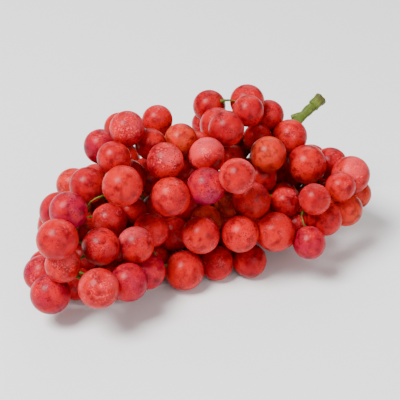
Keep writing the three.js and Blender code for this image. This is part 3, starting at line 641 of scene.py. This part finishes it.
def skin_material():
    """Thin translucent skin: the points' colour mottled with wine and with a painted glow of scarlet,
    pale rough wax in fine dust where the bloom is and even where it is thick, dark dots, and an
    orange-peel grain. The bloom holds painted light too: paler tops and painted sheen rims."""
    material, nodes, links = new_material(
        "berry_skin", Subsurface_Weight=0.12, Subsurface_Scale=0.002,
        Subsurface_Radius=(1.0, 0.12, 0.08), Specular_IOR_Level=0.10)
    place = nodes.new("ShaderNodeTexCoord").outputs["Object"]
    mottle = placed(nodes, links, patches, place, Scale=210, Detail=8, Low=0.44, High=0.66)
    glow = placed(nodes, links, patches, place, Scale=110, Detail=3, Low=0.42, High=0.68)
    colour = attribute(nodes, "tint", "Color")
    mottle = maths(nodes, links, "MULTIPLY", mottle, MOTTLE_COVER)
    colour = mix_colours(nodes, links, mottle, colour, WINE)
    # Painted glow: patches of bright scarlet that stand in for light scattered inside the skin.
    glow = maths(nodes, links, "MULTIPLY", glow, GLOW_COVER)
    colour = mix_colours(nodes, links, glow, colour, SCARLET)

    # The bloom attribute is real wax and painted light: the paler tops and the painted sheen rims.
    bloom = attribute(nodes, "bloom")
    wax_patches = placed(nodes, links, patches, place, Scale=170, Detail=4, Low=0.36, High=0.66)
    dust = placed(nodes, links, patches, place, Scale=900, Detail=2, Low=0.50, High=0.62)
    wax = maths(nodes, links, "MULTIPLY", bloom, wax_patches)
    dust = maths(nodes, links, "MULTIPLY_ADD", dust, DUST_SHARE, 1 - DUST_SHARE)
    wax = maths(nodes, links, "MULTIPLY", wax, dust)
    thick = maths(nodes, links, "MULTIPLY_ADD", bloom, *THICK_WAX)
    wax = maths(nodes, links, "MAXIMUM", wax, thick)
    cover = maths(nodes, links, "MULTIPLY", wax, WAX_COVER)
    colour = mix_colours(nodes, links, cover, colour, BLOOM_AND_SHEEN)

    cells = nodes.new("ShaderNodeTexVoronoi")
    set_inputs(cells, Scale=850)
    links.new(place, cells.inputs["Vector"])
    dot = nodes.new("ShaderNodeMapRange")
    set_inputs(dot, From_Min=0.38, From_Max=0.20)
    links.new(cells.outputs["Distance"], dot.inputs["Value"])
    dotted = placed(nodes, links, patches, place, Scale=150, Detail=2, Low=0.36, High=0.56)
    dotted = maths(nodes, links, "MULTIPLY", dot.outputs["Result"], dotted)
    dotted = maths(nodes, links, "MULTIPLY", dotted, attribute(nodes, "dots"))
    dotted = maths(nodes, links, "MULTIPLY", dotted, DOTS_COVER)
    colour = mix_colours(nodes, links, dotted, colour, WINE)

    shader = nodes["Principled BSDF"]
    links.new(colour, shader.inputs["Base Color"])
    roughness = maths(nodes, links, "MULTIPLY_ADD", wax, WAX_ROUGHNESS, BARE_ROUGHNESS)
    links.new(roughness, shader.inputs["Roughness"])
    links.new(
        placed(nodes, links, fine_grain, place, Scale=1400, Detail=3, Strength=0.35, Distance=0.0001),
        shader.inputs["Normal"])
    return material


draw = np.random.default_rng(BERRY_SEED)
skin_places = berry_skins(draw)
press(skin_places)
skin_colour, skin_bloom_and_painted_light, skin_dots = skin_values(skin_places, draw)
skin_tint = np.concatenate([skin_colour, np.ones((*skin_bloom_and_painted_light.shape, 1))], axis=2)
skin = skin_material()
for number, spray in enumerate(sprays):
    mine = berry_spray == number
    mesh = mesh_from(
        f"{spray}_skin", skin_places[mine].reshape(-1, 3),
        ringed_faces(BERRY_RINGS, BERRY_SPOKES, mine.sum()))
    point_values(mesh, "tint", "FLOAT_COLOR", skin_tint[mine])
    # The bloom attribute also holds painted light: the paler tops and the painted sheen rims.
    point_values(mesh, "bloom", "FLOAT", skin_bloom_and_painted_light[mine])
    point_values(mesh, "dots", "FLOAT", skin_dots[mine])
    mesh.materials.append(skin)
    piece = bpy.data.objects.new(mesh.name, mesh)
    bpy.context.scene.collection.objects.link(piece)
    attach(piece, "root")
    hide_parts(spray)


# The stage: a pale floor that the bunch lies on, and soft studio light, the key from the upper left
# in front, a wide fill from the right and a weak light from behind.
FLOOR_HALF = 4.0
FLOOR_COLOUR = (0.86, 0.86, 0.86, 1)
STUDIO_WHITE = (1, 1, 1, 1)
STUDIO_STRENGTH = 0.38
LIGHTS = (
    # name, place, side of the square, watts
    ("key", (-0.84, -0.20, 1.47), 0.7, 63),
    ("fill", (0.50, -1.45, 0.75), 1.3, 15),
    ("back", (0.60, 1.20, 1.10), 1.2, 10),
)

corners = np.array([(-1, -1, 0), (1, -1, 0), (1, 1, 0), (-1, 1, 0)]) * FLOOR_HALF
floor = bpy.data.objects.new("floor", mesh_from("floor", corners, [np.array([[0, 1, 2, 3]])]))
bpy.context.scene.collection.objects.link(floor)
floor_material, _, _ = new_material("pale_floor", Base_Color=FLOOR_COLOUR, Roughness=0.9)
floor.data.materials.append(floor_material)

for name, place, side, watts in LIGHTS:
    light = bpy.data.lights.new(name, "AREA")
    light.size = side
    light.energy = watts
    lamp = bpy.data.objects.new(name, light)
    lamp.location = place
    lamp.rotation_euler = (Vector(place) - Vector(EYE_AIM)).to_track_quat("Z", "Y").to_euler()
    bpy.context.scene.collection.objects.link(lamp)

world = bpy.data.worlds.new("studio")
world.use_nodes = True
set_inputs(world.node_tree.nodes["Background"], Color=STUDIO_WHITE, Strength=STUDIO_STRENGTH)
bpy.context.scene.world = world
